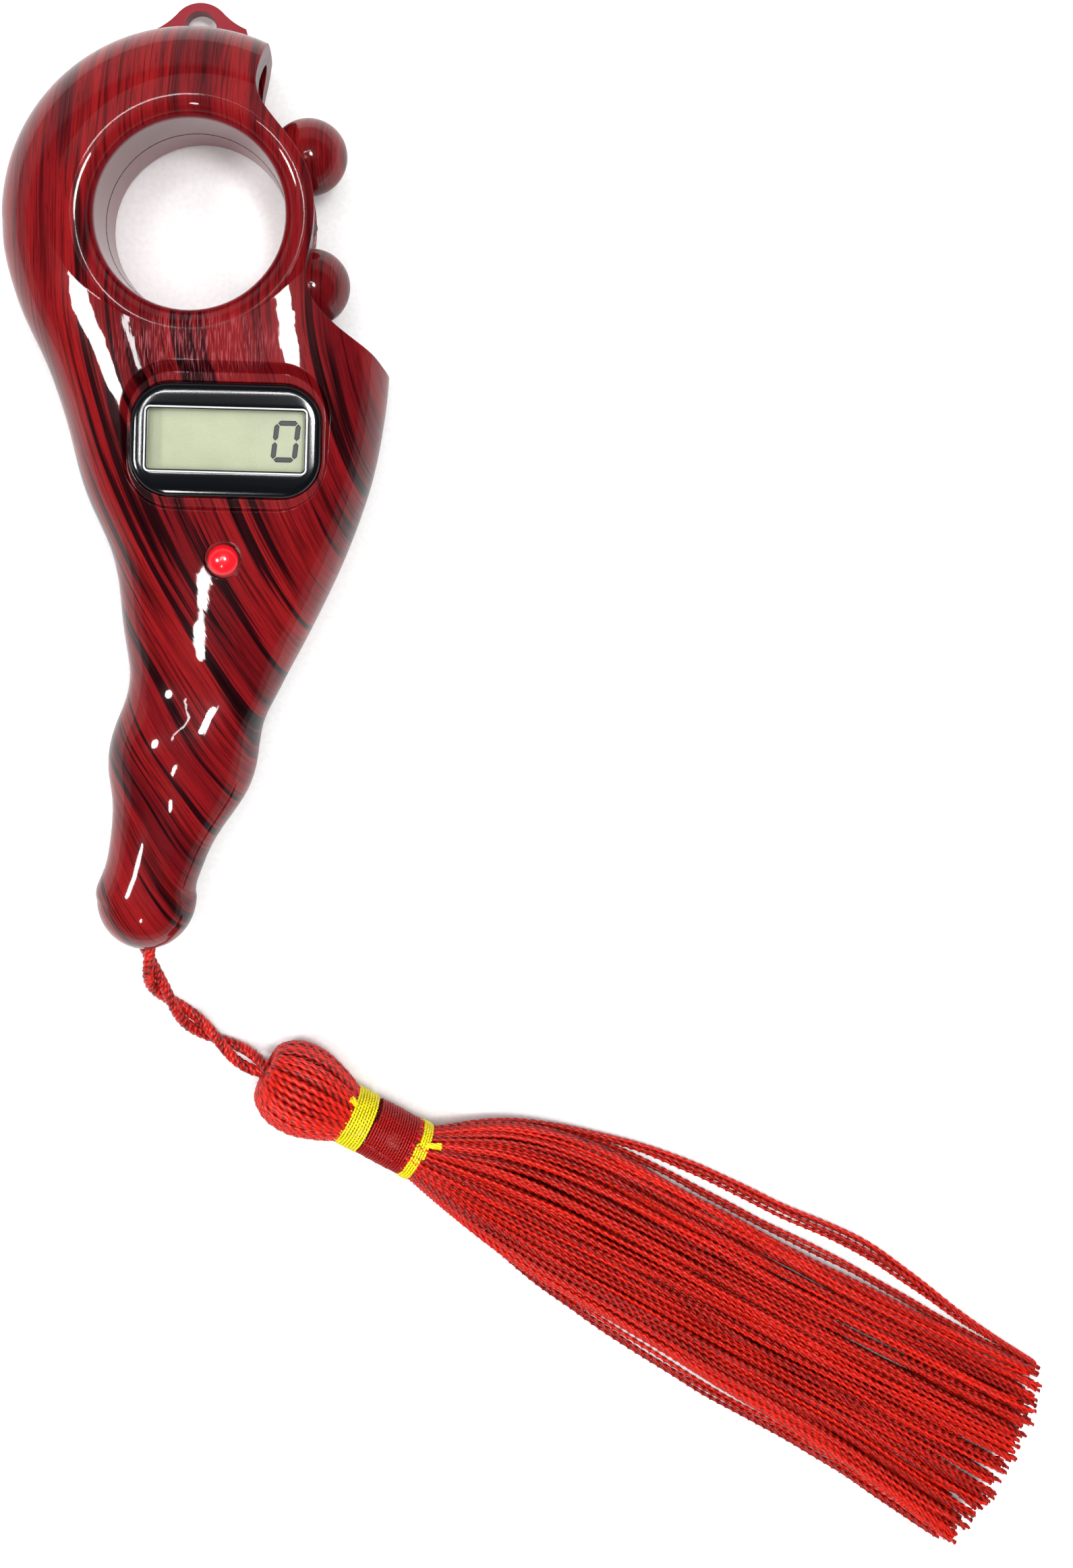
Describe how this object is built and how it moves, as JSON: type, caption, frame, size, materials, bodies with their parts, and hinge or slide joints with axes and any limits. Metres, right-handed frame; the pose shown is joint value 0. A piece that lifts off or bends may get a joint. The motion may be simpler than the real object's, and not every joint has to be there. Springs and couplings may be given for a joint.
{
  "type": "bead-flicking tally counter",
  "caption": "Hand tally counter with a finger ring, a thumb-flicked bead wheel, a small display, a reset button, a cord and a tassel.",
  "frame": {"origin": "on the surface that the counter's back rests on, under the middle of the casing and its lug", "axes": "+Z out of the display, +Y from the tail towards the lug, +X to the right seen from the front"},
  "size_m": [0.1247, 0.184, 0.0222],
  "materials": {
    "shell_gloss": "printed wood grain under clear gloss",
    "bead_gloss": "printed wood grain under clear gloss",
    "carrier_plastic": "moulded",
    "spring_steel": "rolled strip",
    "lens_black": "polished",
    "lcd_grey_green": "satin film",
    "strip_rubber": "matt",
    "board_green": "solder mask",
    "epoxy_black": "cured drop",
    "button_red": "polished",
    "cell_steel": "plated",
    "door_plastic": "moulded, same as the shell",
    "screw_steel": "zinc plated",
    "cord_red": "two twisted strands",
    "thread_red": "silky twisted thread",
    "wrap_yellow": "wound thread",
    "wrap_red": "wound thread"
  },
  "bodies": {
    "casing": {"front_shell": "shell_gloss", "rear_shell": "shell_gloss", "click_spring": "spring_steel", "display_lens": "lens_black", "lcd_panel": "lcd_grey_green", "contact_strip": "strip_rubber", "circuit_board": "board_green", "chip_blob": "epoxy_black", "reset_dome": "spring_steel", "button_cell": "cell_steel", "cell_contact_minus": "spring_steel", "cell_contact_plus": "spring_steel", "battery_door": "door_plastic", "door_screw": "screw_steel", "case_screws": "screw_steel", "cord": "cord_red", "tassel_head": "thread_red", "upper_wrap": "wrap_yellow", "neck_wrap": "wrap_red", "lower_wrap": "wrap_yellow", "tassel_skirt": "thread_red"},
    "bead_wheel": {"bead_carrier": "carrier_plastic", "bead_1": "bead_gloss", "bead_2": "bead_gloss", "bead_3": "bead_gloss", "bead_4": "bead_gloss", "bead_5": "bead_gloss", "bead_6": "bead_gloss"},
    "reset": {"reset_button": "button_red"}
  },
  "joints": [
    {"name": "bead_wheel_spin", "type": "hinge", "parent": "casing", "child": "bead_wheel", "pos_m": [0.0002, 0.0283, 0.0095], "axis": [0, 0, 1], "continuous": true, "deforming": ["click_spring"]},
    {"name": "reset_press", "type": "slide", "parent": "casing", "child": "reset", "axis": [0, 0, -1], "range_m": [0, 0.0005], "stiffness_N_per_m": 1200, "springref_m": -0.0002, "deforming": ["reset_dome"]}
  ]
}
